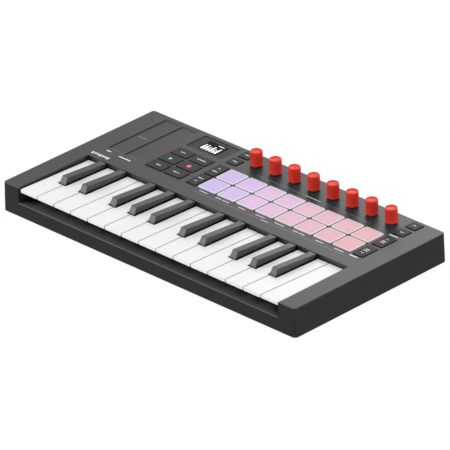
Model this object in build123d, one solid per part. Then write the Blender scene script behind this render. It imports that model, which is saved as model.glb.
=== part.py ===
from build123d import *
import os
from math import radians, tan

# A 25-key MIDI keyboard with mini keys, pads, encoders and buttons. Millimetres.
# +X runs along the keys to the right, +Y to the back, +Z up.
# The origin is the middle of the footprint, on the plane that the feet stand on.

# ---- driving dimensions ----
CASE_W, CASE_D = 330.0, 172.0          # outline at the top edge
CASE_H = 25.5                          # from the underside of the case to the panel
FOOT_H = 1.5                           # how far the feet stand out below the case
DRAFT = 1.35                           # degrees, the outer walls lean in towards the top
CORNER_R = 3.5                         # vertical corners of the outline
TOP_EDGE_R = 0.6                       # rounding of the top outer edge
WALL = 2.4                             # side walls
PANEL_T = 2.5                          # control panel and cheeks' tops
PANEL_Z = FOOT_H + CASE_H
CEILING_Z = PANEL_Z - PANEL_T          # underside of the panel

# key bed
WHITE_COUNT = 15
WHITE_PITCH = 19.47
WHITE_GAP = 0.8
BED_HALF_W = 147.2                     # opening between the cheeks
BED_BACK = -6.9                        # front face of the wall behind the keys
LEDGE_Z = 13.5                         # top of the rail in front of and below the keys
LEDGE_BACK = -70.0
LEDGE_NOSE = 0.5                       # bevel along the rail's upper front edge
CHEEK_T = 2.0
KEY_FRONT, KEY_BACK = -85.0, -7.8
KEY_FRONT_Z, KEY_BACK_Z = 26.0, 23.3   # top surface at rest, a little up at the front
KEY_LIP = 2.7                          # height of a white key's front face
KEY_SKIN = 1.6
KEY_CORNER_R = 0.8                     # front corners of a white key, seen from above
KEY_UNDER_Z = 15.5                     # underside of the thick back part of a key
KEY_SOLID_Y = -30.0                    # behind this a key is solid, and presses on its dome
NOTCH_W = 9.6                          # gap in the white keys for one black key
NOTCH_FRONT = -55.4
BLACK_W, BLACK_TOP_W = 7.5, 6.5
BLACK_FRONT, BLACK_TOP_FRONT = -54.4, -51.0
BLACK_SHOULDER_Z = 24.6                # the sides and the front lean in above this
BLACK_FRONT_Z, BLACK_BACK_Z = 30.7, 27.2
BLACK_BACK = -8.2
BLACK_EDGE_R = 0.7
# black keys in one octave: white keys to the left, and offset from the gap between white keys
BLACKS = [(1, -1.75), (2, 1.95), (4, -2.3), (5, 0.0), (6, 3.0)]

# key hinge
PIVOT_Y, PIVOT_Z = 8.0, 17.5
BAR_R = 1.5
BAR_PLAY = 0.06
KNUCKLE_R = 3.4
TAIL_W = 7.0
TAIL_TOP_Z = 19.5
CLIP_W = 2.4                           # slot that lets a key clip over the bar

# pads
PAD_COLS, PAD_ROWS = 8, 2
PAD_X, PAD_Y = -29.67, 21.15           # first pad's centre
PAD_PITCH_X, PAD_PITCH_Y = 21.56, 20.7
PAD_W, PAD_D = 20.3, 19.5
PAD_R = 2.0
PAD_TOP_Z = PANEL_Z + 1.0
PAD_MARGIN = 0.5                       # around the block of pads

# encoders and knobs, one over each column of pads
KNOB_Y = 70.0
KNOB_R, KNOB_TOP_R = 5.4, 5.15
KNOB_Z, KNOB_TOP_Z = PANEL_Z + 1.15, PANEL_Z + 14.0
SHAFT_R = 3.0
SHAFT_PLAY = 0.05
BUSH_R = 3.4
BUSH_HOLE_R = 3.7

# buttons: name, centre x, centre y, width, depth
BUTTONS = [
    ("settings_button", -90.7, 46.3, 18.8, 12.0),
    ("play_button", -90.7, 32.0, 18.8, 12.0),
    ("scale_button", -90.7, 17.7, 18.8, 12.0),
    ("tempo_button", -69.6, 46.3, 18.8, 12.0),
    ("record_button", -69.6, 32.0, 18.8, 12.0),
    ("chord_button", -69.6, 17.7, 18.8, 12.0),
    ("pad_bank_up_button", -47.7, 42.0, 11.0, 19.2),
    ("pad_bank_down_button", -47.7, 21.1, 11.0, 19.2),
    ("knob_bank_down_button", -47.7, 63.0, 11.0, 10.6),
    ("knob_bank_up_button", -47.7, 77.2, 11.0, 10.6),
    ("track_right_button", 139.6, 77.2, 11.2, 10.6),
    ("track_left_button", 139.6, 63.0, 11.2, 10.6),
    ("scene_right_button", 139.6, 42.3, 11.2, 18.4),
    ("scene_left_button", 139.6, 20.6, 11.2, 18.4),
]
BUTTON_PROUD = 0.7
BUTTON_PLAY = 0.45
BUTTON_R = 1.0
FLANGE_T, FLANGE_OUT = 1.0, 0.6
SWITCH_TOP_Z = 22.2

# display and touch strips
SCREEN_X, SCREEN_Y = -79.65, 69.85
LENS_W, LENS_D, LENS_T = 40.0, 22.9, 1.3
GLASS_W, GLASS_D = 26.5, 19.0
STRIP_XS = (-136.5, -117.5)
STRIP_W, STRIP_Y0, STRIP_Y1 = 16.2, 12.6, 81.2
STRIP_DROP = 0.65                      # the strip's floor lies below the panel
STRIP_RAMP = 4.0                       # each end of a strip curves up to the panel
REBATE_Z = PANEL_Z - 1.8               # seat of the display window and the strips

# boards
BOARD_Z, BOARD_T = 19.0, 1.6
BOARD_TOP = BOARD_Z + BOARD_T
CONTACT_Z, CONTACT_T = 9.0, 1.4
FRAME_Z, FRAME_T = 5.0, 2.0
FRAME_WALL_Z = 17.3                    # the frame's front wall hides the inside from below the keys

# base, screws and feet
BASE_T = 2.5
BASE_TOP = FOOT_H + BASE_T
PAD_T = 1.5                            # raised seat for each screw
SCREWS = [(-157, -77), (157, -77), (-157, 0), (157, 0), (-157, 64), (157, 64)]
SCREWS += [(-104.5, 52), (130.2, 58)]  # between the strips and the display, and beside the knobs
BOSS_R, PILOT_R = 2.8, 1.25
SCREW_R, SCREW_HEAD_R = 1.2, 2.6
FEET = [(-145, -72), (145, -72), (-145, 72), (145, 72)]
FOOT_R = 6.0

# rear sockets, all at one height
SOCKET_Z = 13.0
USB_X, MIDI_X, SUSTAIN_X = -120.0, -90.0, -62.0
MIDI_BORE_R, SUSTAIN_BORE_R = 1.82, 3.25
MIDI_BORE_L, SUSTAIN_BORE_L = 13.0, 22.0
SLOT_XS = (-135.0, -105.0, -75.0, -49.0)  # the rear wall's slot, and the joints between its three plates
SLOT_TOP, SLOT_PLAY = 20.0, 0.1
MOUTH_Y = CASE_D / 2 + 0.2
OUTSIDE_Y = CASE_D / 2 + 3             # clear of the wall, behind the case


def block(x0, x1, y0, y1, z0, z1):
    """A box between two corners."""
    middle = Pos((x0 + x1) / 2, (y0 + y1) / 2, (z0 + z1) / 2)
    return middle * Box(x1 - x0, y1 - y0, z1 - z0)


def slab(x, y, w, d, z0, z1, r):
    """A plate with rounded corners, centred on x, y."""
    return extrude(Pos(x, y, z0) * RectangleRounded(w, d, r), z1 - z0)


def post(x, y, r, z0, z1):
    """An upright cylinder."""
    return Pos(x, y, (z0 + z1) / 2) * Cylinder(r, z1 - z0)


def along_x(outline, x0, x1):
    """A prism whose (y, z) outline runs from x0 to x1."""
    face = make_face(Polyline(*outline, close=True))
    return extrude(Plane.YZ.offset(x0) * face, x1 - x0)


def along_y(outline, y0, y1):
    """A prism whose (x, z) outline runs from y0 to y1."""
    face = make_face(Polyline(*outline, close=True))
    back = Plane(origin=(0, y1, 0), x_dir=(1, 0, 0), z_dir=(0, -1, 0))
    return extrude(back * face, y1 - y0)


def rod_y(x, z, r, y0, y1):
    """A cylinder that lies along Y."""
    return Pos(x, (y0 + y1) / 2, z) * Rot(90, 0, 0) * Cylinder(r, y1 - y0)


def rod_x(y, z, r, x0, x1):
    """A cylinder that lies along X."""
    return Pos((x0 + x1) / 2, y, z) * Rot(0, 90, 0) * Cylinder(r, x1 - x0)


# ---- where the keys, pads and knobs are ----
BED_LEFT = -WHITE_COUNT * WHITE_PITCH / 2
BLACK_XS = []
for octave in range(2):
    for whites, offset in BLACKS:
        BLACK_XS.append(BED_LEFT + (7 * octave + whites) * WHITE_PITCH + offset)


def white_span(i):
    """Left and right side of white key i at its front."""
    left = BED_LEFT + i * WHITE_PITCH + WHITE_GAP / 2
    return left, left + WHITE_PITCH - WHITE_GAP


def white_neck(i):
    """Left and right side of white key i between its neighbouring black keys."""
    left, right = white_span(i)
    for x in BLACK_XS:
        if left < x + NOTCH_W / 2 < (left + right) / 2 + WHITE_GAP:
            left = x + NOTCH_W / 2
        if (left + right) / 2 - WHITE_GAP < x - NOTCH_W / 2 < right:
            right = x - NOTCH_W / 2
    return left, right


WHITE_TAILS = [sum(white_neck(i)) / 2 for i in range(WHITE_COUNT)]
TAILS = sorted(WHITE_TAILS + BLACK_XS)
KNOB_XS = [PAD_X + PAD_PITCH_X * i for i in range(PAD_COLS)]


# ---- keys ----
def key_top_z(y):
    """Height of the white keys' top surface at y."""
    share = (y - KEY_FRONT) / (KEY_BACK - KEY_FRONT)
    return KEY_FRONT_Z + share * (KEY_BACK_Z - KEY_FRONT_Z)


def key_tail(x):
    """The lever behind a key, with the knuckle that clips over the hinge bar."""
    left, right = x - TAIL_W / 2, x + TAIL_W / 2
    lever = block(left, right, -12.0, PIVOT_Y, KEY_UNDER_Z, TAIL_TOP_Z)
    return lever + rod_x(PIVOT_Y, PIVOT_Z, KNUCKLE_R, left, right)


def key_bore(x):
    """The bore round the hinge bar, and the slot below it."""
    left, right = x - TAIL_W, x + TAIL_W
    bore = rod_x(PIVOT_Y, PIVOT_Z, BAR_R + BAR_PLAY, left, right)
    return bore + block(left, right, PIVOT_Y - CLIP_W / 2, PIVOT_Y + CLIP_W / 2, 10.0, PIVOT_Z)


def white_key(i):
    """One white key: a thin shell at the front, notched for its black neighbours."""
    left, right = white_span(i)
    neck_left, neck_right = white_neck(i)
    side = [
        (KEY_FRONT, KEY_FRONT_Z - KEY_LIP),
        (KEY_FRONT, KEY_FRONT_Z),
        (KEY_BACK, KEY_BACK_Z),
        (KEY_BACK, KEY_UNDER_Z),
        (KEY_SOLID_Y, KEY_UNDER_Z),
    ]
    head = along_x(side, left, right)
    for x in BLACK_XS:
        if left < x + NOTCH_W / 2 and x - NOTCH_W / 2 < right:
            head -= block(x - NOTCH_W / 2, x + NOTCH_W / 2, NOTCH_FRONT, 0, 10, 30)
    corners = [e for e in head.edges().filter_by(Axis.Z) if e.center().Y < KEY_FRONT + 0.1]
    head = fillet(corners, KEY_CORNER_R)
    top_edges = head.faces().sort_by(Axis.Z)[-1].edges()
    head = chamfer(top_edges, 0.3)
    wall = 1.2
    neck_y = NOTCH_FRONT - 1.5
    for x0, x1, y0, y1 in (
        (left, right, KEY_FRONT + wall, neck_y),
        (neck_left, neck_right, neck_y - 0.1, KEY_SOLID_Y - 2),
    ):
        pocket = [
            (y0, 10),
            (y0, key_top_z(y0) - KEY_SKIN),
            (y1, key_top_z(y1) - KEY_SKIN),
            (y1, 10),
        ]
        head -= along_x(pocket, x0 + wall, x1 - wall)
    return head + key_tail(WHITE_TAILS[i]) - key_bore(WHITE_TAILS[i])


def black_key(x):
    """One black key: it narrows upwards, with a sloped front and softened edges."""
    side = [
        (BLACK_FRONT, 21.0),
        (BLACK_FRONT, BLACK_SHOULDER_Z),
        (BLACK_TOP_FRONT, BLACK_FRONT_Z),
        (BLACK_BACK, BLACK_BACK_Z),
        (BLACK_BACK, KEY_UNDER_Z),
        (KEY_SOLID_Y, KEY_UNDER_Z),
    ]
    lean = (BLACK_W - BLACK_TOP_W) / 2 / (BLACK_FRONT_Z - BLACK_SHOULDER_Z)
    cap_z = BLACK_FRONT_Z + 1
    top = BLACK_W / 2 - lean * (cap_z - BLACK_SHOULDER_Z)
    front = [
        (x - BLACK_W / 2, 10),
        (x - BLACK_W / 2, BLACK_SHOULDER_Z),
        (x - top, cap_z),
        (x + top, cap_z),
        (x + BLACK_W / 2, BLACK_SHOULDER_Z),
        (x + BLACK_W / 2, 10),
    ]
    head = along_x(side, x - BLACK_W, x + BLACK_W) & along_y(front, BLACK_FRONT - 1, 0)
    upper = [e for e in head.edges() if e.center().Z > BLACK_SHOULDER_Z + 1.8]
    head = fillet(upper, BLACK_EDGE_R)
    head -= block(x - 2.4, x + 2.4, BLACK_FRONT + 2.4, KEY_SOLID_Y - 2, 10, 25.0)
    return head + key_tail(x) - key_bore(x)


def key_frame():
    """The tray under the keys: hinge bar on ribs at the back, guide posts at the front."""
    half = BED_HALF_W - 0.6
    top = FRAME_Z + FRAME_T
    frame = block(-half, half, -69, 14, FRAME_Z, top)
    frame += block(-half, half, -69, -67.5, top, FRAME_WALL_Z)
    for y in (-68, -30, 10):
        frame += block(-half, half, y, y + 2, BASE_TOP, FRAME_Z)
    for y in (-29.5, -12):
        frame += block(-half + 4, half - 4, y, y + 1.5, top, CONTACT_Z)
    ribs = [(a + b) / 2 for a, b in zip(TAILS, TAILS[1:])]
    rib_side = [(3, top), (13, top), (10.5, 19.3), (5.5, 19.3)]
    for x in [-half + 1.2] + ribs + [half - 1.2]:
        frame += along_x(rib_side, x - 0.8, x + 0.8)
    frame += rod_x(PIVOT_Y, PIVOT_Z, BAR_R, -half + 0.5, half - 0.5)
    for i in range(WHITE_COUNT):
        x = sum(white_span(i)) / 2
        frame += block(x - 1.5, x + 1.5, -64, -62, top, 20)
    for x in BLACK_XS:
        frame += block(x - 1.1, x + 1.1, -44, -42, top, 18)
    return frame


def key_contact_strip():
    """The silicone strip with one dome under each key."""
    base = CONTACT_Z + CONTACT_T
    strip = block(-142, 142, -27, -17, base, base + 0.8)
    for x in TAILS:
        strip += Pos(x, -22, base + 0.8 + 1.2) * Cone(3.0, 2.0, 2.4)
    return strip


# ---- case ----
def outline(z, inset):
    """The case's outline, inset from its outer wall at height z."""
    grow = 2 * (PANEL_Z - z) * tan(radians(DRAFT)) - 2 * inset
    r = max(CORNER_R - inset, 1.0)
    return Pos(0, 0, z) * RectangleRounded(CASE_W + grow, CASE_D + grow, r)


def top_case():
    """Panel, cheeks, front rail and outer walls, moulded as one shell."""
    shell = extrude(outline(FOOT_H, 0), CASE_H, taper=DRAFT)
    shell = fillet(shell.faces().sort_by(Axis.Z)[-1].edges(), TOP_EDGE_R)
    inner_w, inner_d = CASE_W - 2 * WALL, CASE_D - 2 * WALL
    shell -= slab(0, 0, inner_w, inner_d, FOOT_H, CEILING_Z, 1.5)
    shell -= block(-BED_HALF_W, BED_HALF_W, -100, BED_BACK, LEDGE_Z, 40)
    front = -CASE_D / 2 - (PANEL_Z - LEDGE_Z) * tan(radians(DRAFT))
    over = 0.1
    nose = [
        (front + LEDGE_NOSE, LEDGE_Z + over),
        (front - over, LEDGE_Z + over),
        (front - over, LEDGE_Z - LEDGE_NOSE),
    ]
    shell -= along_x(nose, -BED_HALF_W, BED_HALF_W)
    # the rail's ledge, the cheeks' inner walls and the wall behind the keys
    inside = -inner_d / 2
    outer_half = BED_HALF_W + CHEEK_T
    shell += block(-outer_half, outer_half, inside, LEDGE_BACK, LEDGE_Z - 2.5, LEDGE_Z)
    for side in (-1, 1):
        x0, x1 = sorted((side * BED_HALF_W, side * outer_half))
        shell += block(x0, x1, inside, BED_BACK + 2, BASE_TOP + 0.3, CEILING_Z)
    shell += block(-outer_half, outer_half, BED_BACK, BED_BACK + 2, 20.8, CEILING_Z)
    # screw bosses, and posts that hold the main board off the panel
    for x, y in SCREWS:
        shell += post(x, y, BOSS_R, BASE_TOP + PAD_T, CEILING_Z)
        shell -= post(x, y, PILOT_R, BASE_TOP + PAD_T, 14.0)
    for x, y in ((-104.5, 30), (-56.85, 32), (-56.85, 70), (-18.9, 58.5), (67.3, 58.5)):
        shell += post(x, y, 2.0, BOARD_TOP, CEILING_Z)
    return shell - panel_openings() - socket_slot()


def panel_openings():
    """Everything that is cut through the panel."""
    width = PAD_PITCH_X * (PAD_COLS - 1) + PAD_W + 2 * PAD_MARGIN
    depth = PAD_PITCH_Y * (PAD_ROWS - 1) + PAD_D + 2 * PAD_MARGIN
    middle_x = PAD_X + PAD_PITCH_X * (PAD_COLS - 1) / 2
    middle_y = PAD_Y + PAD_PITCH_Y * (PAD_ROWS - 1) / 2
    low, high = CEILING_Z - 0.5, PANEL_Z + 1
    cuts = slab(middle_x, middle_y, width, depth, low, high, PAD_R + PAD_MARGIN)
    for x in KNOB_XS:
        cuts += post(x, KNOB_Y, BUSH_HOLE_R, low, high)
    for name, x, y, w, d in BUTTONS:
        play = 2 * BUTTON_PLAY
        cuts += slab(x, y, w + play, d + play, low, high, BUTTON_R + BUTTON_PLAY)
    cuts += slab(SCREEN_X, SCREEN_Y, LENS_W + 0.3, LENS_D + 0.3, REBATE_Z, high, 1.0)
    cuts += slab(SCREEN_X, SCREEN_Y, GLASS_W, GLASS_D, low, high, 0.5)
    for x in STRIP_XS:
        cuts += block(x - STRIP_W / 2, x + STRIP_W / 2, STRIP_Y0, STRIP_Y1, REBATE_Z, high)
    return cuts


def socket_slot():
    """The slot in the rear wall that the socket plates fill, open at the bottom edge."""
    inner = CASE_D / 2 - WALL - 1
    return block(SLOT_XS[0], SLOT_XS[-1], inner, OUTSIDE_Y, FOOT_H - 1, SLOT_TOP)


def bottom_case():
    """The base plate, with a raised seat round each screw and a recess for each foot."""
    gap = 0.3
    w, d = CASE_W - 2 * WALL - 2 * gap, CASE_D - 2 * WALL - 2 * gap
    base = slab(0, 0, w, d, FOOT_H, BASE_TOP, 1.3)
    for x, y in SCREWS:
        base += post(x, y, BOSS_R + 1.2, BASE_TOP, BASE_TOP + PAD_T)
    for x, y in SCREWS:
        base -= post(x, y, SCREW_HEAD_R + 0.4, FOOT_H, FOOT_H + 2.2)
        base -= post(x, y, SCREW_R + 0.3, FOOT_H, BASE_TOP + PAD_T)
    for x, y in FEET:
        base -= post(x, y, FOOT_R + 0.2, FOOT_H, FOOT_H + 0.5)
    return base


def case_screws():
    """Pan-head screws from below, each with a cross recess."""
    screws = []
    head_z = FOOT_H + 2.2
    for x, y in SCREWS:
        screw = post(x, y, SCREW_HEAD_R, head_z - 1.8, head_z)
        screw += post(x, y, SCREW_R, head_z, 12.5)
        for w, d in ((2.8, 0.7), (0.7, 2.8)):
            screw -= block(x - w / 2, x + w / 2, y - d / 2, y + d / 2, head_z - 1.9, head_z - 0.9)
        screws.append(screw)
    return Compound(screws)


def rubber_feet():
    """Four round feet, bevelled where they meet the table."""
    feet = []
    for x, y in FEET:
        foot = post(x, y, FOOT_R, 0, FOOT_H + 0.5)
        feet.append(chamfer(foot.faces().sort_by(Axis.Z)[0].edges(), 0.4))
    return Compound(feet)


# ---- controls ----
def pad_mat():
    """The silicone mat: a web on the main board, with the pads standing up from it."""
    x1 = PAD_X + PAD_PITCH_X * (PAD_COLS - 1)
    y1 = PAD_Y + PAD_PITCH_Y * (PAD_ROWS - 1)
    edge_x, edge_y = PAD_W / 2 + 1.4, PAD_D / 2 + 1.4
    mat = block(PAD_X - edge_x, x1 + edge_x, PAD_Y - edge_y, y1 + edge_y, BOARD_TOP, BOARD_TOP + 1.2)
    for x in KNOB_XS:
        for row in range(PAD_ROWS):
            y = PAD_Y + PAD_PITCH_Y * row
            pad = slab(x, y, PAD_W, PAD_D, BOARD_TOP + 1.2, PAD_TOP_Z, PAD_R)
            mat += fillet(pad.faces().sort_by(Axis.Z)[-1].edges(), 0.7)
    return mat


def knob(x):
    """A cap pressed on its steel shaft: two solids that turn together."""
    cap = Pos(x, KNOB_Y, (KNOB_Z + KNOB_TOP_Z) / 2) * Cone(KNOB_R, KNOB_TOP_R, KNOB_TOP_Z - KNOB_Z)
    cap = fillet(cap.faces().sort_by(Axis.Z)[-1].edges(), 0.8)
    cap -= post(x, KNOB_Y, KNOB_TOP_R - 1.3, KNOB_TOP_Z - 0.4, KNOB_TOP_Z + 1)
    shaft_top = KNOB_TOP_Z - 3.0
    cap -= post(x, KNOB_Y, SHAFT_R, KNOB_Z - 1, shaft_top)
    return Compound([cap, post(x, KNOB_Y, SHAFT_R, BOARD_TOP + 1.2, shaft_top)])


def encoders():
    """The bodies that the knobs' shafts turn in."""
    bodies = []
    for x in KNOB_XS:
        body = block(x - 5.5, x + 5.5, KNOB_Y - 5.5, KNOB_Y + 5.5, BOARD_TOP, CEILING_Z - 0.3)
        body += post(x, KNOB_Y, BUSH_R, CEILING_Z - 0.3, PANEL_Z + 0.6)
        body -= post(x, KNOB_Y, SHAFT_R + SHAFT_PLAY, BOARD_TOP + 1.0, PANEL_Z + 1)
        bodies.append(body)
    return Compound(bodies)


def button(x, y, w, d):
    """A cap that stands a little proud of the panel, held in by a flange below it."""
    flange_z = CEILING_Z - 0.3 - FLANGE_T
    cap = slab(x, y, w, d, flange_z, PANEL_Z + BUTTON_PROUD, BUTTON_R)
    cap = fillet(cap.faces().sort_by(Axis.Z)[-1].edges(), 0.3)
    out = 2 * FLANGE_OUT
    return cap + slab(x, y, w + out, d + out, flange_z, flange_z + FLANGE_T, BUTTON_R)


def circuit_boards():
    """The main board with its button switches, and the board under the keys."""
    board = block(-146, 148, 17, 82.5, BOARD_Z, BOARD_TOP)
    for x, y in SCREWS:
        board -= post(x, y, BOSS_R + 0.6, BOARD_Z - 1, BOARD_TOP + 1)
    solids = [board, block(-143, 143, -30, -10, CONTACT_Z, CONTACT_Z + CONTACT_T)]
    for name, x, y, w, d in BUTTONS:
        switch = block(x - 2.5, x + 2.5, y - 2.5, y + 2.5, BOARD_TOP, BOARD_TOP + 1)
        solids.append(switch + post(x, y, 1.2, BOARD_TOP + 1, SWITCH_TOP_Z))
    return Compound(solids)


def display_module():
    """The small display: its glass on a board that stands on the main board."""
    x, y = SCREEN_X, SCREEN_Y
    module = slab(x, y, 28.0, 21.0, 21.4, 22.6, 0.5)
    module += slab(x, y, GLASS_W - 0.6, GLASS_D - 0.6, 22.6, REBATE_Z - 0.3, 0.3)
    for dx in (-12, 12):
        for dy in (-8.5, 8.5):
            module += post(x + dx, y + dy, 1.2, BOARD_TOP, 21.4)
    return module


def display_window():
    """The clear window over the display."""
    return slab(SCREEN_X, SCREEN_Y, LENS_W, LENS_D, REBATE_Z, REBATE_Z + LENS_T, 0.8)


def touch_strips():
    """The pitch and modulation strips: flat, and curved up at both ends."""
    strips = []
    floor, gap = PANEL_Z - STRIP_DROP, 0.1
    y0, y1 = STRIP_Y0 + gap, STRIP_Y1 - gap
    for x in STRIP_XS:
        line = Polyline((y0, PANEL_Z - 0.1), (y0, REBATE_Z), (y1, REBATE_Z), (y1, PANEL_Z - 0.1))
        back = Line((y1 - STRIP_RAMP, floor), (y0 + STRIP_RAMP, floor))
        ramp_back = TangentArc((y1 - STRIP_RAMP, floor), (y1, PANEL_Z - 0.1), tangent=(1, 0))
        ramp_front = TangentArc((y0 + STRIP_RAMP, floor), (y0, PANEL_Z - 0.1), tangent=(-1, 0))
        face = make_face([*line.edges(), back, ramp_back, ramp_front])
        left = x - STRIP_W / 2 + gap
        strips.append(extrude(Plane.YZ.offset(left) * face, STRIP_W - 2 * gap))
    return Compound(strips)


def socket_plate(x0, x1):
    """A plate that fills its share of the rear wall's slot, with the wall's own lean."""
    wall = extrude(outline(FOOT_H, 0), CASE_H, taper=DRAFT)
    x0, x1, top = x0 + SLOT_PLAY, x1 - SLOT_PLAY, SLOT_TOP - SLOT_PLAY
    return wall & block(x0, x1, CASE_D / 2 - WALL, OUTSIDE_Y, FOOT_H, top)


def rear_sockets():
    """USB-C, 3.5 mm MIDI and 6.35 mm sustain sockets, each with its own plate."""
    inside = CASE_D / 2 - WALL + 0.2
    mouth = Plane(origin=(USB_X, MOUTH_Y, SOCKET_Z), x_dir=(1, 0, 0), z_dir=(0, -1, 0))
    usb = socket_plate(SLOT_XS[0], SLOT_XS[1])
    usb += extrude(mouth.offset(0.5) * RectangleRounded(9.2, 3.6, 1.7), 7.9)
    usb -= extrude(mouth.offset(-1) * RectangleRounded(8.4, 2.7, 1.2), 7.5)
    usb += extrude(mouth.offset(0.8) * RectangleRounded(6.7, 0.8, 0.3), 6)
    usb += block(USB_X - 4.6, USB_X + 4.6, MOUTH_Y - 8.4, inside, SOCKET_Z + 1.6, BOARD_Z)
    midi = socket_plate(SLOT_XS[1], SLOT_XS[2])
    midi += block(MIDI_X - 4, MIDI_X + 4, inside - 14.5, inside, 9.0, BOARD_Z)
    midi -= rod_y(MIDI_X, SOCKET_Z, MIDI_BORE_R, MOUTH_Y - MIDI_BORE_L, OUTSIDE_Y)
    sustain = socket_plate(SLOT_XS[2], SLOT_XS[3])
    sustain += block(SUSTAIN_X - 6.5, SUSTAIN_X + 6.5, inside - 24.5, inside, 7.0, BOARD_Z)
    sustain -= rod_y(SUSTAIN_X, SOCKET_Z, SUSTAIN_BORE_R, MOUTH_Y - SUSTAIN_BORE_L, OUTSIDE_Y)
    return Compound([usb, midi, sustain])


# ---- write every sub-part ----
def save(name, shape):
    """Writes one sub-part to its own STEP file."""
    shape.label = name
    export_step(shape, f"parts/{name}.step")


os.makedirs("parts", exist_ok=True)
for make in (
    top_case, bottom_case, key_frame, key_contact_strip, circuit_boards, encoders, pad_mat,
    display_module, display_window, touch_strips, rear_sockets, rubber_feet, case_screws,
):
    save(make.__name__, make())
for i in range(WHITE_COUNT):
    save(f"white_key_{i + 1:02d}", white_key(i))
for i, x in enumerate(BLACK_XS):
    save(f"black_key_{i + 1:02d}", black_key(x))
for i, x in enumerate(KNOB_XS):
    save(f"knob_{i + 1}", knob(x))
for name, x, y, w, d in BUTTONS:
    save(name, button(x, y, w, d))
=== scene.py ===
import math

import bmesh
import bpy
from mathutils import Matrix, Vector


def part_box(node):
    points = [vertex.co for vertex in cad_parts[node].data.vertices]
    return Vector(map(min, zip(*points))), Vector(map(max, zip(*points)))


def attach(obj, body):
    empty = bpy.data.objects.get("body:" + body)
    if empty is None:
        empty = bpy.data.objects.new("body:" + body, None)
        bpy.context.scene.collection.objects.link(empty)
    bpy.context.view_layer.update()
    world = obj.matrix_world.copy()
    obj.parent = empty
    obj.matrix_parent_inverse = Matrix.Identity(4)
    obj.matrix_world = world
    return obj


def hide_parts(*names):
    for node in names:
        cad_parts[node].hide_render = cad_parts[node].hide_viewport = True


# The looks of a 25-key MIDI keyboard: materials for the CAD pieces, glowing pads, ribbed knobs,
# printed marks, the display's picture, and a plain studio. Lengths are in millimetres until
# build() turns them into metres, and the studio's floor, lights and distances are in metres.
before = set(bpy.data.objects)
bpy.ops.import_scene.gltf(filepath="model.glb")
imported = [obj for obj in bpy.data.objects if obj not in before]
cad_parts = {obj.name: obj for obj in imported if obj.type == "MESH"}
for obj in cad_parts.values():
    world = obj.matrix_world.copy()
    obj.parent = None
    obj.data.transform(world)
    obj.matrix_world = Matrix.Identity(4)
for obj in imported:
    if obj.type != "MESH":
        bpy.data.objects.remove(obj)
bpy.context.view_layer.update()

MM = 0.001


def corners_mm(node):
    """Lowest and highest corner of a CAD node, in millimetres."""
    low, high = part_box(node)
    return [c / MM for c in low], [c / MM for c in high]


def centre_mm(node):
    """Middle of a CAD node's box, in millimetres."""
    low, high = corners_mm(node)
    return [(a + b) / 2 for a, b in zip(low, high)]


# ---- sizes ----
PANEL_Z = corners_mm("top_case")[1][2]
PAD_COLS, PAD_ROWS = 8, 2
PAD_W, PAD_D, PAD_R = 20.3, 19.5, 2.0
PAD_PITCH_Y = 20.7
PAD_CROWN = 0.12                 # how much higher the middle of a pad's top is than its edge
PAD_EDGE_R = 0.75
STRIP_DROP = 0.55                # from the strips' raised ends down to their floor
PRINT_T = 0.03                   # thickness of printed marks
KNOB_RIBS, KNOB_RIB_DEPTH = 36, 0.26
KNOB_GAP = 1.15                  # from the panel up to a knob's underside
RIB_START, RIB_END = 1.25, 0.8   # how far the ribs stay from a knob's underside and from its top
LABEL_TALL, WORD_TALL, BOLD_TALL = 1.25, 1.1, 1.2
LINE_W = 0.35                    # the guide lines' width
WEB_T = 1.2                      # thickness of the dark web between the pads
RAIL_TOP_Z = 13.7                # the rail in front of the keys ends at this height


# ---- shader helpers ----
def srgb(red, green, blue):
    """A colour given as 0 to 255 on a screen, as the linear colour that a shader takes."""
    linear = []
    for level in (red, green, blue):
        share = level / 255
        linear.append(share / 12.92 if share <= 0.04045 else ((share + 0.055) / 1.055) ** 2.4)
    return (*linear, 1.0)


def start_material(name):
    """A new material: itself, its nodes, its links and its main shader."""
    material = bpy.data.materials.new(name)
    material.use_nodes = True
    tree = material.node_tree
    return material, tree.nodes, tree.links, tree.nodes["Principled BSDF"]


def noise_of(nodes, links, size_mm, detail=2.0):
    """Noise in the object's own space, with grains of about size_mm."""
    place = nodes.new("ShaderNodeTexCoord")
    noise = nodes.new("ShaderNodeTexNoise")
    noise.inputs["Scale"].default_value = 1 / (size_mm * MM)
    noise.inputs["Detail"].default_value = detail
    links.new(place.outputs["Object"], noise.inputs["Vector"])
    return noise


def spread(nodes, links, source, low, high):
    """Turns a noise's middle range into values from low to high."""
    span = nodes.new("ShaderNodeMapRange")
    span.inputs["From Min"].default_value = 0.3
    span.inputs["From Max"].default_value = 0.7
    span.inputs["To Min"].default_value = low
    span.inputs["To Max"].default_value = high
    links.new(source, span.inputs["Value"])
    return span.outputs["Result"]


def tinted(nodes, links, source, dark, light):
    """A colour that goes from dark to light with a noise."""
    ramp = nodes.new("ShaderNodeValToRGB")
    ramp.color_ramp.elements[0].position = 0.3
    ramp.color_ramp.elements[0].color = dark
    ramp.color_ramp.elements[1].position = 0.7
    ramp.color_ramp.elements[1].color = light
    links.new(source, ramp.inputs["Fac"])
    return ramp.outputs["Color"]


def multiplied(nodes, links, colour, factor):
    """A colour times a number."""
    mix = nodes.new("ShaderNodeMix")
    mix.data_type = "RGBA"
    mix.blend_type = "MULTIPLY"
    mix.inputs["Factor"].default_value = 1.0
    links.new(colour, mix.inputs["A"])
    links.new(factor, mix.inputs["B"])
    return mix.outputs["Result"]


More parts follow.
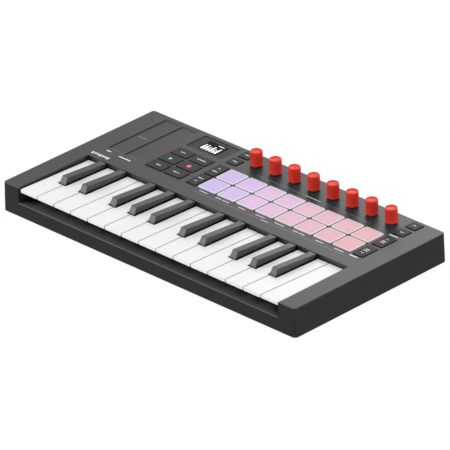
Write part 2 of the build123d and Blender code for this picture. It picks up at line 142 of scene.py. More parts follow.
def painted_crease_shade(nodes, links, colour, reach, closed, clear, least):
    """Painted shade: darkens a colour in gaps and inner corners that have something within reach (mm).

    Where the open share of the view is under closed, only the share least of the colour is left;
    over clear it is untouched. Returns the colour and that share.
    """
    nearby = nodes.new("ShaderNodeAmbientOcclusion")
    nearby.samples = 8
    nearby.inputs["Distance"].default_value = reach * MM
    span = nodes.new("ShaderNodeMapRange")
    span.inputs["From Min"].default_value = closed
    span.inputs["From Max"].default_value = clear
    span.inputs["To Min"].default_value = least
    span.inputs["To Max"].default_value = 1.0
    links.new(nearby.outputs["AO"], span.inputs["Value"])
    return multiplied(nodes, links, colour, span.outputs["Result"]), span.outputs["Result"]


def moulded(name, colour, roughness, specular=0.5, grain=0.35, depth=0.012, edge=0.2, drift=0.06,
            crease_shade=None):
    """Moulded plastic or rubber: a fine sparked grain, slow drift in tone, soft edges.

    The last argument holds the last four values of the painted gap shade above, for a surface with painted
    shade in its gaps: darker colour and dimmer gloss there.
    """
    material, nodes, links, shader = start_material(name)
    fine = noise_of(nodes, links, grain, 3.0)
    broad = noise_of(nodes, links, 38.0)
    dark = (*[c * (1 - drift) for c in colour[:3]], 1)
    light = (*[c * (1 + drift) for c in colour[:3]], 1)
    tone = tinted(nodes, links, broad.outputs["Fac"], dark, light)
    shader.inputs["Specular IOR Level"].default_value = specular
    # painted shade in gaps and inner corners: darker colour, and dimmer gloss
    if crease_shade:
        tone, openness = painted_crease_shade(nodes, links, tone, *crease_shade)
        shine = spread(nodes, links, openness, specular * crease_shade[-1], specular)
        links.new(shine, shader.inputs["Specular IOR Level"])
    links.new(tone, shader.inputs["Base Color"])
    gloss = spread(nodes, links, fine.outputs["Fac"], roughness - 0.04, roughness + 0.04)
    links.new(gloss, shader.inputs["Roughness"])
    soft_edge = nodes.new("ShaderNodeBevel")
    soft_edge.samples = 4
    soft_edge.inputs["Radius"].default_value = edge * MM
    bump = nodes.new("ShaderNodeBump")
    bump.inputs["Strength"].default_value = 0.5
    bump.inputs["Distance"].default_value = depth * MM
    links.new(fine.outputs["Fac"], bump.inputs["Height"])
    links.new(soft_edge.outputs["Normal"], bump.inputs["Normal"])
    links.new(bump.outputs["Normal"], shader.inputs["Normal"])
    return material


def metal(name, colour, roughness):
    """Plated metal with a faint brushed grain."""
    material = moulded(name, colour, roughness, grain=0.2, depth=0.004, edge=0.1, drift=0.03)
    material.node_tree.nodes["Principled BSDF"].inputs["Metallic"].default_value = 1.0
    return material


def glowing(name, colour, strength, base=0.3):
    """A lit mark: its own light, and a surface that still takes some of the room's."""
    material, nodes, links, shader = start_material(name)
    flicker = noise_of(nodes, links, 1.2)
    dark = (*[c * base * 0.9 for c in colour[:3]], 1)
    light = (*[c * base for c in colour[:3]], 1)
    links.new(tinted(nodes, links, flicker.outputs["Fac"], dark, light), shader.inputs["Base Color"])
    shader.inputs["Emission Color"].default_value = colour
    shader.inputs["Emission Strength"].default_value = strength
    shader.inputs["Roughness"].default_value = 0.5
    return material


# ---- mesh helpers: a shape is (vertices, faces), in millimetres ----
def joined(*shapes):
    """Several shapes as one."""
    verts, faces = [], []
    for more_verts, more_faces in shapes:
        first = len(verts)
        verts += more_verts
        faces += [[first + i for i in face] for face in more_faces]
    return verts, faces


def prism(outline, z0, z1):
    """A closed solid between two heights, over an outline of (x, y) points."""
    n = len(outline)
    verts = [(x, y, z0) for x, y in outline] + [(x, y, z1) for x, y in outline]
    faces = [list(range(n - 1, -1, -1)), list(range(n, 2 * n))]
    faces += [[i, (i + 1) % n, n + (i + 1) % n, n + i] for i in range(n)]
    return verts, faces


def rounded(x, y, w, d, r, steps=5):
    """Outline of a rectangle with round corners, counter-clockwise."""
    points = []
    for k, (sx, sy) in enumerate(((1, 1), (-1, 1), (-1, -1), (1, -1))):
        for i in range(steps + 1):
            turn = math.pi / 2 * (k + i / steps)
            points.append((
                x + sx * (w / 2 - r) + r * math.cos(turn),
                y + sy * (d / 2 - r) + r * math.sin(turn),
            ))
    return points


def disc(x, y, r, steps=32):
    """Outline of a circle."""
    turns = [2 * math.pi * i / steps for i in range(steps)]
    return [(x + r * math.cos(t), y + r * math.sin(t)) for t in turns]


def hoop(outer, inner, y0, y1):
    """A closed ring that lies in the rear wall's plane, between two outlines given as x and z."""
    loops = [(outer, y0), (outer, y1), (inner, y1), (inner, y0)]
    verts = [(x, y, z) for outline, y in loops for x, z in outline]
    n = len(outer)
    faces = []
    for k in range(4):
        a, b = k * n, (k + 1) % 4 * n
        faces += [[a + i, a + (i + 1) % n, b + (i + 1) % n, b + i] for i in range(n)]
    return verts, faces


def chevron(x, y, size, width, turn):
    """Outline of an open arrowhead that points along +X, turned by turn degrees."""
    a, b = size / 2, width * math.sqrt(2) / 2
    points = [(-a / 2, a), (-a / 2 + b, a + b / 2), (a / 2 + b, 0)]
    points += [(-a / 2 + b, -a - b / 2), (-a / 2, -a), (a / 2 - b / 2, 0)]
    c, s = math.cos(math.radians(turn)), math.sin(math.radians(turn))
    return [(x + c * px - s * py, y + s * px + c * py) for px, py in points][::-1]


def lathe(x, y, profile, steps=48, shape=None):
    """Turns a closed (radius, height) loop or an open one that starts and ends on the axis."""
    shape = shape or (lambda turn, r, z: r)
    open_ends = profile[0][0] == 0 and profile[-1][0] == 0
    rings = profile[1:-1] if open_ends else profile
    verts, faces = [], []
    for r, z in rings:
        for i in range(steps):
            turn = 2 * math.pi * i / steps
            rr = shape(turn, r, z)
            verts.append((x + rr * math.cos(turn), y + rr * math.sin(turn), z))
    count = len(rings)
    for k in range(count - 1 if open_ends else count):
        for i in range(steps):
            j, up = (i + 1) % steps, (k + 1) % count
            faces.append([k * steps + i, k * steps + j, up * steps + j, up * steps + i])
    if open_ends:
        for end, z in ((0, profile[0][1]), (count - 1, profile[-1][1])):
            tip = len(verts)
            verts.append((x, y, z))
            faces += [[end * steps + i, end * steps + (i + 1) % steps, tip] for i in range(steps)]
    return verts, faces


def build(name, shape, material, body, smooth=40.0):
    """Makes a shape into a piece that rides on a body."""
    verts, faces = shape
    mesh = bpy.data.meshes.new(name)
    mesh.from_pydata([(x * MM, y * MM, z * MM) for x, y, z in verts], [], faces)
    edit = bmesh.new()
    edit.from_mesh(mesh)
    bmesh.ops.recalc_face_normals(edit, faces=edit.faces)
    edit.to_mesh(mesh)
    edit.free()
    mesh.shade_smooth()
    mesh.set_sharp_from_angle(angle=math.radians(smooth))
    mesh.materials.append(material)
    piece = bpy.data.objects.new(name, mesh)
    bpy.context.scene.collection.objects.link(piece)
    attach(piece, body)
    return piece


def printed(name, outlines, z, material, body="case"):
    """Flat marks that lie on a surface at height z, as one piece."""
    shapes = [prism(outline, z - PRINT_T, z + PRINT_T) for outline in outlines]
    return build(name, joined(*shapes), material, body)


def paint(node, material):
    """Gives a CAD node its finish."""
    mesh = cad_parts[node].data
    mesh.materials.clear()
    mesh.materials.append(material)


# ---- finishes of the CAD pieces ----
def paint_rail_light_and_shade(material):
    """Painted light and shade on the rail's upper face in front of the keys: a paler grey than the rest of
    the case, and black right under the keys' fronts, where its gloss is dimmed too.
    """
    nodes, links = material.node_tree.nodes, material.node_tree.links
    shader = nodes["Principled BSDF"]
    place = nodes.new("ShaderNodeTexCoord")
    parts = nodes.new("ShaderNodeSeparateXYZ")
    links.new(place.outputs["Object"], parts.inputs["Vector"])
    below = nodes.new("ShaderNodeMapRange")
    below.inputs["From Min"].default_value = RAIL_TOP_Z * MM
    below.inputs["From Max"].default_value = (RAIL_TOP_Z + 0.5) * MM
    below.inputs["To Min"].default_value = 1.0
    below.inputs["To Max"].default_value = 0.0
    links.new(parts.outputs["Z"], below.inputs["Value"])
    facing = nodes.new("ShaderNodeSeparateXYZ")
    links.new(place.outputs["Normal"], facing.inputs["Vector"])
    upward = nodes.new("ShaderNodeMapRange")
    upward.inputs["From Min"].default_value = 0.3
    upward.inputs["From Max"].default_value = 0.6
    links.new(facing.outputs["Z"], upward.inputs["Value"])
    both = nodes.new("ShaderNodeMath")
    both.operation = "MULTIPLY"
    links.new(below.outputs["Result"], both.inputs[0])
    links.new(upward.outputs["Result"], both.inputs[1])
    # painted light: the rail's upward face is lifted to a paler grey than the case
    mix = nodes.new("ShaderNodeMix")
    mix.data_type = "RGBA"
    links.new(both.outputs[0], mix.inputs["Factor"])
    links.new(shader.inputs["Base Color"].links[0].from_socket, mix.inputs["A"])
    mix.inputs["B"].default_value = (0.085, 0.085, 0.085, 1)
    # painted shade: right under the keys' fronts the face is darkened to black
    face = mix.outputs["Result"]
    shaded, openness = painted_crease_shade(nodes, links, face, reach=14.0, closed=0.34, clear=0.56, least=0.0)
    under = nodes.new("ShaderNodeMix")
    under.data_type = "RGBA"
    links.new(both.outputs[0], under.inputs["Factor"])
    links.new(face, under.inputs["A"])
    links.new(shaded, under.inputs["B"])
    links.new(under.outputs["Result"], shader.inputs["Base Color"])
    # the gloss is dimmed along with the painted shade
    gloss = nodes.new("ShaderNodeMix")
    gloss.data_type = "FLOAT"
    links.new(shader.inputs["Specular IOR Level"].links[0].from_socket, gloss.inputs["A"])
    links.new(both.outputs[0], gloss.inputs["Factor"])
    links.new(spread(nodes, links, openness, 0.0, 0.5), gloss.inputs["B"])
    links.new(gloss.outputs["Result"], shader.inputs["Specular IOR Level"])


def finish_cad_pieces():
    """One procedural material for each kind of piece."""
    # painted shade: the case is darkened, and its gloss dimmed, in its gaps and inner corners
    case = moulded("case_plastic", (0.022, 0.022, 0.022), 0.42, specular=0.62, edge=0.3,
                   crease_shade=(1.6, 0.4, 0.62, 0.0))
    paint_rail_light_and_shade(case)
    paint("top_case", case)
    paint("bottom_case", moulded("base_plastic", (0.026, 0.026, 0.027), 0.5, grain=0.6, depth=0.02))
    paint("touch_strips", moulded("strip_plastic", (0.020, 0.020, 0.020), 0.40, specular=0.58, depth=0.004))
    paint("key_frame", moulded("frame_plastic", (0.006, 0.006, 0.006), 0.7, specular=0.15))
    paint("key_contact_strip", moulded("contact_rubber", (0.05, 0.05, 0.052), 0.7, specular=0.2))
    paint("circuit_boards", moulded("board", (0.01, 0.06, 0.025), 0.35))
    paint("display_module", moulded("display_board", (0.01, 0.03, 0.02), 0.3))
    paint("encoders", metal("encoder_metal", (0.55, 0.55, 0.56), 0.35))
    paint("rear_sockets", moulded("socket_plastic", (0.016, 0.016, 0.016), 0.42, depth=0.008))
    paint("rubber_feet", moulded("foot_rubber", (0.012, 0.012, 0.012), 0.8, specular=0.3, grain=0.5))
    paint("case_screws", metal("screw_steel", (0.12, 0.12, 0.125), 0.35))
    window = moulded("window", (0.011, 0.011, 0.011), 0.30, specular=0.31, depth=0.0, drift=0.0)
    paint("display_window", window)
    # painted shade: the keys' and buttons' sides go darker down into the gaps round them, the black keys'
    # and the buttons' sides to black
    white = moulded("white_key_plastic", (0.78, 0.78, 0.78), 0.30, specular=0.4, depth=0.001, edge=0.35,
                    drift=0.008, crease_shade=(2.5, 0.12, 0.55, 0.2))
    black = moulded("black_key_plastic", (0.024, 0.024, 0.024), 0.40, specular=0.75, edge=0.3,
                    crease_shade=(4.0, 0.6, 0.84, 0.0))
    rubber = moulded("button_rubber", (0.014, 0.014, 0.014), 0.55, specular=0.36, edge=0.2,
                     crease_shade=(2.0, 0.57, 0.85, 0.0))
    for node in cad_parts:
        if node.startswith("white_key"):
            paint(node, white)
        if node.startswith("black_key"):
            paint(node, black)
        if node.endswith("_button"):
            paint(node, rubber)


# ---- pads ----
PAD_TINTS = (
    (0.0, srgb(213, 190, 249)),
    (0.3, srgb(236, 197, 238)),
    (0.6, srgb(240, 190, 212)),
    (1.0, srgb(244, 182, 188)),
)


def pad_tint(share, lift):
    """The pads' colour at a share of the way to the right, lifted a little towards white."""
    for (p0, c0), (p1, c1) in zip(PAD_TINTS, PAD_TINTS[1:]):
        if share <= p1 + 1e-6:
            t = (share - p0) / (p1 - p0)
            mixed = [a + (b - a) * t for a, b in zip(c0, c1)]
            return [c + (1 - c) * lift for c in mixed[:3]]
    return list(PAD_TINTS[-1][1][:3])


def from_middle(nodes, links, place):
    """How far a point lies from the piece's middle: 0 there, 1 at its four sides."""
    apart = nodes.new("ShaderNodeVectorMath")
    apart.operation = "SUBTRACT"
    apart.inputs[1].default_value = (0.5, 0.5, 0.5)
    links.new(place.outputs["Generated"], apart.inputs[0])
    size = nodes.new("ShaderNodeVectorMath")
    size.operation = "ABSOLUTE"
    links.new(apart.outputs["Vector"], size.inputs[0])
    parts = nodes.new("ShaderNodeSeparateXYZ")
    links.new(size.outputs["Vector"], parts.inputs["Vector"])
    larger = nodes.new("ShaderNodeMath")
    larger.operation = "MAXIMUM"
    links.new(parts.outputs["X"], larger.inputs[0])
    links.new(parts.outputs["Y"], larger.inputs[1])
    whole = nodes.new("ShaderNodeMath")
    whole.operation = "MULTIPLY"
    whole.inputs[1].default_value = 2.0
    links.new(larger.outputs[0], whole.inputs[0])
    return whole.outputs[0]


def pad_material(name, tint):
    """Milky silicone lit from below: richest over the lamp in the middle, paler at the rim, with a painted
    highlight on the top edge and painted shade down the sides.
    """
    material, nodes, links, shader = start_material(name)
    place = nodes.new("ShaderNodeTexCoord")
    middle = nodes.new("ShaderNodeVectorMath")
    middle.operation = "DISTANCE"
    middle.inputs[1].default_value = (0.5, 0.5, 1.0)
    links.new(place.outputs["Generated"], middle.inputs[0])
    cloud = noise_of(nodes, links, 3.5)
    sway = nodes.new("ShaderNodeMath")
    sway.operation = "MULTIPLY_ADD"
    sway.inputs[1].default_value = 0.10
    links.new(cloud.outputs["Fac"], sway.inputs[0])
    links.new(middle.outputs["Value"], sway.inputs[2])
    # the skin's colours are halved, because the lamp's light adds to them
    ramp = nodes.new("ShaderNodeValToRGB")
    grey = sum(tint) / 3
    core = [1.04 * (c - (grey - c) * 0.12) for c in tint]
    rim = [0.97 * (c + (grey - c) * 0.30) for c in tint]
    ramp.color_ramp.elements[0].position = 0.12
    ramp.color_ramp.elements[0].color = (*[0.5 * c for c in core], 1)
    ramp.color_ramp.elements[1].position = 0.56
    ramp.color_ramp.elements[1].color = (*[0.5 * c for c in rim], 1)
    links.new(sway.outputs[0], ramp.inputs["Fac"])
    # the lamp's glow and the pad's own colour fade down the pad's side: partly the glow fading, partly
    # painted shade, so that the gaps between pads stay dark
    height = nodes.new("ShaderNodeSeparateXYZ")
    links.new(place.outputs["Generated"], height.inputs["Vector"])
    fade = nodes.new("ShaderNodeMapRange")
    fade.inputs["From Min"].default_value = 0.72
    fade.inputs["From Max"].default_value = 0.95
    fade.inputs["To Min"].default_value = 0.03
    fade.inputs["To Max"].default_value = 1.0
    links.new(height.outputs["Z"], fade.inputs["Value"])
    # painted highlight: the pad's rounded top edge is whiter in colour and glow, as where it catches the
    # lights
    edge = nodes.new("ShaderNodeValToRGB")
    edge.color_ramp.elements[0].position = 0.0
    edge.color_ramp.elements[0].color = (0, 0, 0, 1)
    edge.color_ramp.elements[1].position = 0.985
    edge.color_ramp.elements[1].color = (0, 0, 0, 1)
    for position, share in ((0.85, 0.0), (0.91, 0.9), (0.95, 0.9)):
        stop = edge.color_ramp.elements.new(position)
        stop.color = (share, share, share, 1)
    links.new(from_middle(nodes, links, place), edge.inputs["Fac"])
    pale = nodes.new("ShaderNodeMix")
    pale.data_type = "RGBA"
    pale.inputs["B"].default_value = (*[0.5 * (0.25 * c + 0.75) for c in tint], 1)
    links.new(edge.outputs["Color"], pale.inputs["Factor"])
    links.new(ramp.outputs["Color"], pale.inputs["A"])
    shade = multiplied(nodes, links, pale.outputs["Result"], fade.outputs["Result"])
    links.new(shade, shader.inputs["Base Color"])
    links.new(shade, shader.inputs["Emission Color"])
    shader.inputs["Emission Strength"].default_value = 0.62
    shader.inputs["Roughness"].default_value = 0.5
    shader.inputs["Specular IOR Level"].default_value = 0.4
    grain = noise_of(nodes, links, 0.25)
    bump = nodes.new("ShaderNodeBump")
    bump.inputs["Strength"].default_value = 0.4
    bump.inputs["Distance"].default_value = 0.006 * MM
    links.new(grain.outputs["Fac"], bump.inputs["Height"])
    links.new(bump.outputs["Normal"], shader.inputs["Normal"])
    return material


def pad_shape(x, y, z0, z1):
    """A pad: straight sides, a round top edge and a slightly crowned top."""
    levels = [(0.0, z0), (0.0, z1 - PAD_CROWN - PAD_EDGE_R)]
    for i in range(1, 7):
        turn = math.pi / 2 * i / 6
        z = z1 - PAD_CROWN - PAD_EDGE_R * (1 - math.sin(turn))
        levels.append((PAD_EDGE_R * (1 - math.cos(turn)), z))
    verts, faces = [], []
    for inset, z in levels:
        r = max(PAD_R - inset, 0.4)
        verts += [(px, py, z) for px, py in rounded(x, y, PAD_W - 2 * inset, PAD_D - 2 * inset, r, 6)]
    n = len(verts) // len(levels)
    rim = verts[-n:]
    shares = (0.94, 0.85, 0.7, 0.5, 0.25)
    for share in shares:
        lift = PAD_CROWN * (1 - share ** 3)
        verts += [(x + (px - x) * share, y + (py - y) * share, pz + lift) for px, py, pz in rim]
    rings = len(levels) + len(shares)
    for k in range(rings - 1):
        for i in range(n):
            j = (i + 1) % n
            faces.append([k * n + i, k * n + j, (k + 1) * n + j, (k + 1) * n + i])
    verts.append((x, y, z1))
    last = (rings - 1) * n
    faces += [[last + i, last + (i + 1) % n, len(verts) - 1] for i in range(n)]
    faces.append(list(range(n - 1, -1, -1)))
    return verts, faces


def make_pads():
    """Sixteen pads and the dark web that they stand up from."""
    low, high = corners_mm("pad_mat")
    web_z = low[2] + WEB_T
    web = moulded("pad_web", (0.006, 0.005, 0.007), 0.8, specular=0.2)
    cx, cy = (low[0] + high[0]) / 2, (low[1] + high[1]) / 2
    outline = rounded(cx, cy, high[0] - low[0] - 0.2, high[1] - low[1] - 0.2, 1.0)
    build("pad_web", prism(outline, low[2], web_z), web, "case")
    for column in range(PAD_COLS):
        x = centre_mm(f"knob_{column + 1}")[0]
        for row in range(PAD_ROWS):
            y = cy + (row - 0.5) * PAD_PITCH_Y
            name = f"pad_{row * PAD_COLS + column + 1:02d}"
            finish = pad_material(name, pad_tint(column / (PAD_COLS - 1), 0.04 * row))
            piece = build(name, pad_shape(x, y, web_z, high[2]), finish, "case")
            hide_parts("pad_mat")


# ---- knobs ----
def knob_profile(z0, z1):
    """Half section of a knob's cap: from the middle of its underside to the middle of its dish."""
    return [
        (0, z0), (4.9, z0), (5.25, z0 + 0.12), (5.4, z0 + 0.45), (5.38, z0 + 1.0),
        (5.33, z0 + 1.3), (5.27, z0 + 4.5), (5.21, z0 + 8.0), (5.17, z1 - 1.2), (5.15, z1 - 0.85),
        (5.08, z1 - 0.45), (4.9, z1 - 0.16), (4.7, z1 - 0.02), (4.55, z1), (4.4, z1 - 0.05),
        (4.2, z1 - 0.4), (4.05, z1 - 0.7), (3.8, z1 - 0.85), (2.4, z1 - 0.95), (1.0, z1 - 1.0),
        (0, z1 - 1.0),
    ]


def make_knobs():
    """Finely ribbed caps on steel shafts, with painted shade in the ribs' grooves and painted dark
    reflections.
    """
    # painted shade: the red is darker in the ribs' grooves and its gloss dimmer there
    red = moulded("knob_plastic", (0.72, 0.038, 0.016), 0.42, specular=0.32, grain=0.3, depth=0.01,
                  drift=0.05, crease_shade=(0.7, 0.55, 0.97, 0.3))
    shader = red.node_tree.nodes["Principled BSDF"]
    shader.inputs["Sheen Weight"].default_value = 0.25
    shader.inputs["Sheen Roughness"].default_value = 0.4
    shader.inputs["Sheen Tint"].default_value = (1.0, 0.30, 0.2, 1)
    # painted reflection: mirror-like rays see the knobs as a dim grey, so that their reflections in the
    # panel are dark patches of painted shade
    nodes, links = red.node_tree.nodes, red.node_tree.links
    painted_dark_reflection = nodes.new("ShaderNodeEmission")
    painted_dark_reflection.inputs["Color"].default_value = (0.03, 0.025, 0.035, 1)
    rays = nodes.new("ShaderNodeLightPath")
    seen = nodes.new("ShaderNodeMixShader")
    links.new(rays.outputs["Is Glossy Ray"], seen.inputs["Fac"])
    links.new(shader.outputs["BSDF"], seen.inputs[1])
    links.new(painted_dark_reflection.outputs["Emission"], seen.inputs[2])
    links.new(seen.outputs["Shader"], nodes["Material Output"].inputs["Surface"])
    steel = metal("shaft_steel", (0.5, 0.5, 0.52), 0.3)
    for number in range(1, PAD_COLS + 1):
        node = f"knob_{number}"
        x, y, _ = centre_mm(node)
        z1 = corners_mm(node)[1][2]
        z0 = PANEL_Z + KNOB_GAP

        def ribbed(turn, r, z):
            if not z0 + RIB_START <= z <= z1 - RIB_END or r < 5:
                return r
            # the ribs grow over 0.8 mm at the bottom and over 0.4 mm at the top
            fade = min(1.0, (z - z0 - 1.2) / 0.8, (z1 - RIB_END - z) / 0.4)
            wave = 0.5 - 0.5 * math.cos(KNOB_RIBS * turn)
            return r - KNOB_RIB_DEPTH * max(fade, 0.0) * wave

        cap = lathe(x, y, knob_profile(z0, z1), KNOB_RIBS * 4, ribbed)
        piece = build(f"knob_cap_{number}", cap, red, node, 50)
        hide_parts(node)
        low = corners_mm(node)[0][2]
        shaft = lathe(x, y, [(0, low), (2.7, low), (3.0, low + 0.3), (3.0, z0 - 0.02), (0, z0 - 0.02)], 32)
        build(f"knob_shaft_{number}", shaft, steel, node)


# ---- printed marks ----
def word(x, y, length):
    """Outline of a short plain bar in place of a word."""
    return rounded(x, y, length, WORD_TALL, 0.4)


def bold_word(x, y, length):
    """A slightly taller bar, for the four plain buttons round play and record."""
    return rounded(x, y, length, BOLD_TALL, 0.4)


def two_lines(x, y, side):
    """Two bars one above the other, and an arrow that points along Y to the given side."""
    bars = [word(x, y - side * 2.6, 4.6), word(x, y - side * 0.2, 4.6)]
    return [*bars, chevron(x, y + side * 3.4, 2.8, 0.8, side * 90)]


def make_button_icons():
    """A small plain mark on each button; play is lit green and record is lit red."""
    ink = moulded("icon_ink", (0.58, 0.58, 0.58), 0.5, depth=0.0)
    green = glowing("play_green", srgb(70, 255, 120), 1.0)
    red = glowing("record_red", srgb(255, 78, 112), 1.0)
    marks = {
        "settings_button": lambda x, y: [bold_word(x - 0.9, y, 2.4), bold_word(x + 1.7, y, 1.8)],
        "scale_button": lambda x, y: [bold_word(x - 0.6, y, 3.0), bold_word(x + 2.0, y, 1.6)],
        "tempo_button": lambda x, y: [rounded(x, y, 9.6, BOLD_TALL, 0.5)],
        "chord_button": lambda x, y: [bold_word(x - 1.4, y, 4.6), bold_word(x + 2.6, y, 1.4)],
        "play_button": lambda x, y: [[(x - 1.4, y - 1.7), (x + 1.9, y), (x - 1.4, y + 1.7)]],
        "record_button": lambda x, y: [disc(x, y, 2.0)],
        "pad_bank_up_button": lambda x, y: [word(x, y - 2.4, 5.6), chevron(x, y + 3.0, 2.6, 0.8, 90)],
        "pad_bank_down_button": lambda x, y: [word(x, y + 2.4, 5.6), chevron(x, y - 3.0, 2.6, 0.8, -90)],
        "knob_bank_down_button": lambda x, y: [word(x, y, 4.8)],
        "knob_bank_up_button": lambda x, y: [word(x, y, 4.2)],
        "track_right_button": lambda x, y: [chevron(x, y, 3.4, 0.9, 90)],
        "track_left_button": lambda x, y: [chevron(x, y, 3.4, 0.9, -90)],
        "scene_right_button": lambda x, y: two_lines(x, y, 1),
        "scene_left_button": lambda x, y: two_lines(x, y, -1),
    }
    inks = {"play_button": green, "record_button": red}
    for node, outlines in marks.items():
        x, y, _ = centre_mm(node)
        top = corners_mm(node)[1][2]
        name = node.replace("_button", "_mark")
        printed(name, outlines(x, y), top, inks.get(node, ink), node)


def label(x0, x1, y, tall=LABEL_TALL):
    """Outline of a plain bar that stands for a printed word."""
    return rounded((x0 + x1) / 2, y, x1 - x0, tall, min(0.4, tall / 3), 3)


def make_panel_print():
    """Guide lines round the pads, plain bars in place of words, and the strip's centre mark."""
    ink = moulded("panel_ink", (0.48, 0.48, 0.48), 0.5, depth=0.0)
    bright = moulded("panel_ink_bright", (0.75, 0.75, 0.75), 0.5, depth=0.0)
    faint = moulded("panel_ink_faint", (0.24, 0.24, 0.24), 0.5, depth=0.0)
    front_y, back_y, side_x = 4.8, 58.5, (133.6, 142.4)
    places = [(-38.9, 36.5, front_y), (49.5, 130.5, front_y)]
    places += [(-17.8, 35.2, back_y), (55.0, 110.2, back_y)]
    lines = [rounded((a + b) / 2, y, b - a, LINE_W, 0.1, 2) for a, b, y in places]
    printed("guide_lines", lines, PANEL_Z, faint)
    # one bar in front of each column of pads, or two where the label has two words
    spans = [(-34, -24.8), (-15.6, -9.0), (-8.0, -0.3), (10.1, 18), (29.5, 40.4), (50.6, 61.4)]
    spans += [(71, 77.4), (78.4, 84.2), (96.1, 105), (116.9, 127)]
    printed("pad_labels", [label(a, b, 8.4) for a, b in spans], PANEL_Z, ink)
    on_lines = [label(38.5, 47.5, front_y, 1.0), label(36.7, 53.6, back_y, 1.0)]
    printed("line_labels", on_lines, PANEL_Z, ink)
    printed("side_labels", [label(*side_x, 54.4), label(*side_x, 8.7)], PANEL_Z, bright)
    printed("strip_labels", [label(-141.7, -136.7, 9.0), label(-126.3, -113.1, 7.8)], PANEL_Z, bright)
    # seven little keys in front of the left strip
    first_x, top_y, pitch, wide = -147.6, 0.6, 2.9, 1.9
    heights = [2.6 if k in (1, 2, 4, 5) else 3.4 for k in range(7)]
    pictogram = [
        rounded(first_x + pitch * k, top_y - tall / 2, wide, tall, 0.3, 3)
        for k, tall in enumerate(heights)
    ]
    printed("keyboard_pictogram", pictogram, PANEL_Z, bright)
    strip_z = corners_mm("touch_strips")[1][2] - STRIP_DROP
    printed("pitch_centre_mark", [label(-141.9, -131.1, 45.0, 0.8)], strip_z, faint)


def make_display():
    """The display's dark area on the window, with a plain row of lit level bars."""
    top = corners_mm("display_window")[1][2]
    glass = moulded("display_glass", (0.002, 0.002, 0.002), 0.2, specular=0.06, depth=0.0, drift=0.0)
    x0, x1, y0, y1 = -90.2, -68.2, 62.0, 77.65
    area = rounded((x0 + x1) / 2, (y0 + y1) / 2, x1 - x0, y1 - y0, 0.5)
    printed("display_area", [area], top, glass)
    lit = glowing("display_white", (1.0, 1.0, 1.0, 1.0), 1.0, 0.5)
    bars, wide = [], 1.9
    for k in range(6):
        height = 3.2 + 3.6 * abs(math.sin(1.3 * k + 0.9))
        x = x0 + 2.6 + 3.1 * k
        bars.append(rounded(x, y0 + 1.3 + height / 2, wide, height, 0.2, 2))
        bars.append(rounded(x, y0 + 2.9 + height, wide, 0.9, 0.2, 2))
    bars.append(rounded(x1 - 7.0, y1 - 2.2, 6.4, 0.7, 0.2, 2))
    printed("display_picture", bars, top + 2 * PRINT_T, lit)


# ---- rear wall ----
SOCKET_Z, PLATE_FACE_Y = 13.0, 86.3    # the sockets' height, and the plates' outer face there
LABEL_FACE_Y = 86.2                    # the same face higher up, since the wall leans
USB_X, MIDI_X, SUSTAIN_X = -120.0, -90.0, -62.0
# each jack's name, place, bore radius and width of rim
JACKS = (("midi", MIDI_X, 1.82, 0.8), ("sustain", SUSTAIN_X, 3.25, 1.3))


def make_socket_rims():
    """Nickel rims round the two jacks, and the USB socket's metal shell."""
    nickel = metal("nickel", (0.60, 0.59, 0.56), 0.28)
    y0, y1 = PLATE_FACE_Y - 0.2, PLATE_FACE_Y + 0.2
    for name, x, bore, rim in JACKS:
        shape = hoop(disc(x, SOCKET_Z, bore + rim, 48), disc(x, SOCKET_Z, bore + 0.02, 48), y0, y1)
        build(f"{name}_jack_rim", shape, nickel, "case")
    outer = rounded(USB_X, SOCKET_Z, 9.1, 3.4, 1.65)
    shell = hoop(outer, rounded(USB_X, SOCKET_Z, 8.5, 2.8, 1.35), y0, y1)
    build("usb_shell_rim", shell, nickel, "case")
    ink = moulded("rear_ink", (0.40, 0.40, 0.40), 0.5, depth=0.0)
    for number, (x, length) in enumerate(((USB_X, 6.0), (MIDI_X, 4.5), (SUSTAIN_X, 7.5)), 1):
        outline = rounded(x, SOCKET_Z + 5.7, length, 0.9, 0.3, 3)
        n = len(outline)
        verts = [(px, y, pz) for y in (LABEL_FACE_Y - 0.2, LABEL_FACE_Y + PRINT_T) for px, pz in outline]
        faces = [list(range(n)), list(range(2 * n - 1, n - 1, -1))]
        faces += [[i, n + i, n + (i + 1) % n, (i + 1) % n] for i in range(n)]
        build(f"rear_label_{number}", (verts, faces), ink, "case")


# ---- studio ----
CAMERA_AZIMUTH, CAMERA_ELEVATION, CAMERA_ROLL = 45.709, 27.538, 1.994
CAMERA_DISTANCE, CAMERA_LENS = 5.223, 519.2    # in metres, and the lens in mm
TARGET_Z = 1.5                       # the camera is placed from a point this high over the origin
TARGET_IN_VIEW = (-1.915, -7.877)    # where that point lies from the middle of the view, in mm
FLOOR_DROP = 0.4                     # how far the floor lies below the feet, in mm


def make_camera():
    """A long lens from the right front corner, tilted by two degrees."""
    a, e = math.radians(CAMERA_AZIMUTH), math.radians(CAMERA_ELEVATION)
    roll = math.radians(CAMERA_ROLL)
    back = Vector((math.sin(a) * math.cos(e), -math.cos(a) * math.cos(e), math.sin(e)))
    right = Vector((math.cos(a), math.sin(a), 0))
    up = back.cross(right)
    camera = bpy.data.objects.new("camera", bpy.data.cameras.new("camera"))
    camera.data.lens = CAMERA_LENS
    camera.data.sensor_width = 36.0
    camera.data.clip_start, camera.data.clip_end = 0.1, 50.0
    place = back * CAMERA_DISTANCE - (right * TARGET_IN_VIEW[0] + up * TARGET_IN_VIEW[1]) * MM
    place += Vector((0, 0, TARGET_Z * MM))
    across = right * math.cos(roll) - up * math.sin(roll)
    above = right * math.sin(roll) + up * math.cos(roll)
    turn = Matrix((across, above, back)).transposed()
    camera.matrix_world = Matrix.Translation(place) @ turn.to_4x4()
    bpy.context.scene.collection.objects.link(camera)
    bpy.context.scene.camera = camera


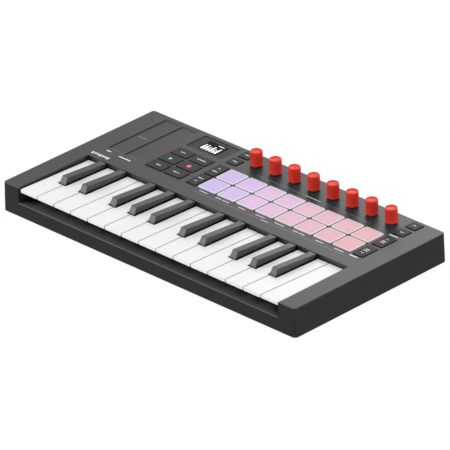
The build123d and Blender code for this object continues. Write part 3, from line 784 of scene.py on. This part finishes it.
def make_floor():
    """A plain white floor. Mirror-like rays see it darker, so that upright faces stay dark."""
    middle = (0, 0, -FLOOR_DROP * MM)
    bpy.ops.mesh.primitive_circle_add(vertices=96, radius=9, fill_type="NGON", location=middle)
    floor = bpy.context.object
    floor.name = "floor"
    material, nodes, links, shader = start_material("floor_white")
    shader.inputs["Base Color"].default_value = (0.93, 0.93, 0.93, 1)
    shader.inputs["Roughness"].default_value = 0.9
    shader.inputs["Specular IOR Level"].default_value = 0.0
    glow = nodes.new("ShaderNodeEmission")
    glow.inputs["Color"].default_value = (1, 1, 1, 1)
    pale = nodes.new("ShaderNodeMixShader")
    pale.inputs["Fac"].default_value = 0.98
    dim = nodes.new("ShaderNodeEmission")
    dim.inputs["Color"].default_value = (0.085, 0.085, 0.085, 1)
    rays = nodes.new("ShaderNodeLightPath")
    chosen = nodes.new("ShaderNodeMixShader")
    links.new(shader.outputs["BSDF"], pale.inputs[1])
    links.new(glow.outputs["Emission"], pale.inputs[2])
    links.new(rays.outputs["Is Glossy Ray"], chosen.inputs["Fac"])
    links.new(pale.outputs["Shader"], chosen.inputs[1])
    links.new(dim.outputs["Emission"], chosen.inputs[2])
    links.new(chosen.outputs["Shader"], nodes["Material Output"].inputs["Surface"])
    floor.data.materials.append(material)


def make_world():
    """Even white light from all round, and a white backdrop."""
    world = bpy.data.worlds.new("studio")
    world.use_nodes = True
    nodes, links = world.node_tree.nodes, world.node_tree.links
    room = nodes["Background"]
    room.inputs["Color"].default_value = (1.0, 1.0, 1.0, 1)
    room.inputs["Strength"].default_value = 0.78
    backdrop = nodes.new("ShaderNodeBackground")
    backdrop.inputs["Color"].default_value = (1, 1, 1, 1)
    rays = nodes.new("ShaderNodeLightPath")
    chosen = nodes.new("ShaderNodeMixShader")
    links.new(rays.outputs["Is Camera Ray"], chosen.inputs["Fac"])
    links.new(room.outputs["Background"], chosen.inputs[1])
    links.new(backdrop.outputs["Background"], chosen.inputs[2])
    links.new(chosen.outputs["Shader"], nodes["World Output"].inputs["Surface"])
    bpy.context.scene.world = world


def softbox(name, place, size, power):
    """A rectangular white light that faces the middle of the keyboard."""
    light = bpy.data.lights.new(name, "AREA")
    light.shape = "RECTANGLE"
    light.size, light.size_y = size
    light.energy = power
    lamp = bpy.data.objects.new(name, light)
    lamp.location = place
    lamp.rotation_mode = "QUATERNION"
    lamp.rotation_quaternion = Vector(place).to_track_quat("Z", "Y")
    lamp.visible_camera = False
    bpy.context.scene.collection.objects.link(lamp)


def make_studio():
    """Floor, backdrop, lights and plain colour handling."""
    make_floor()
    make_world()
    softbox("softbox_back", (-0.20, 0.75, 0.50), (0.8, 0.5), 2.4)
    softbox("softbox_top", (0.2, 0.1, 1.2), (0.9, 0.9), 2.0)
    softbox("softbox_front", (-0.85, -0.85, 0.46), (0.7, 0.5), 5.5)
    softbox("softbox_right", (1.3, 0.3, 0.35), (0.6, 0.5), 3.2)
    bpy.context.scene.view_settings.view_transform = "Standard"
    bpy.context.scene.view_settings.look = "None"


make_camera()
make_studio()
finish_cad_pieces()
make_pads()
make_knobs()
make_button_icons()
make_panel_print()
make_display()
make_socket_rims()
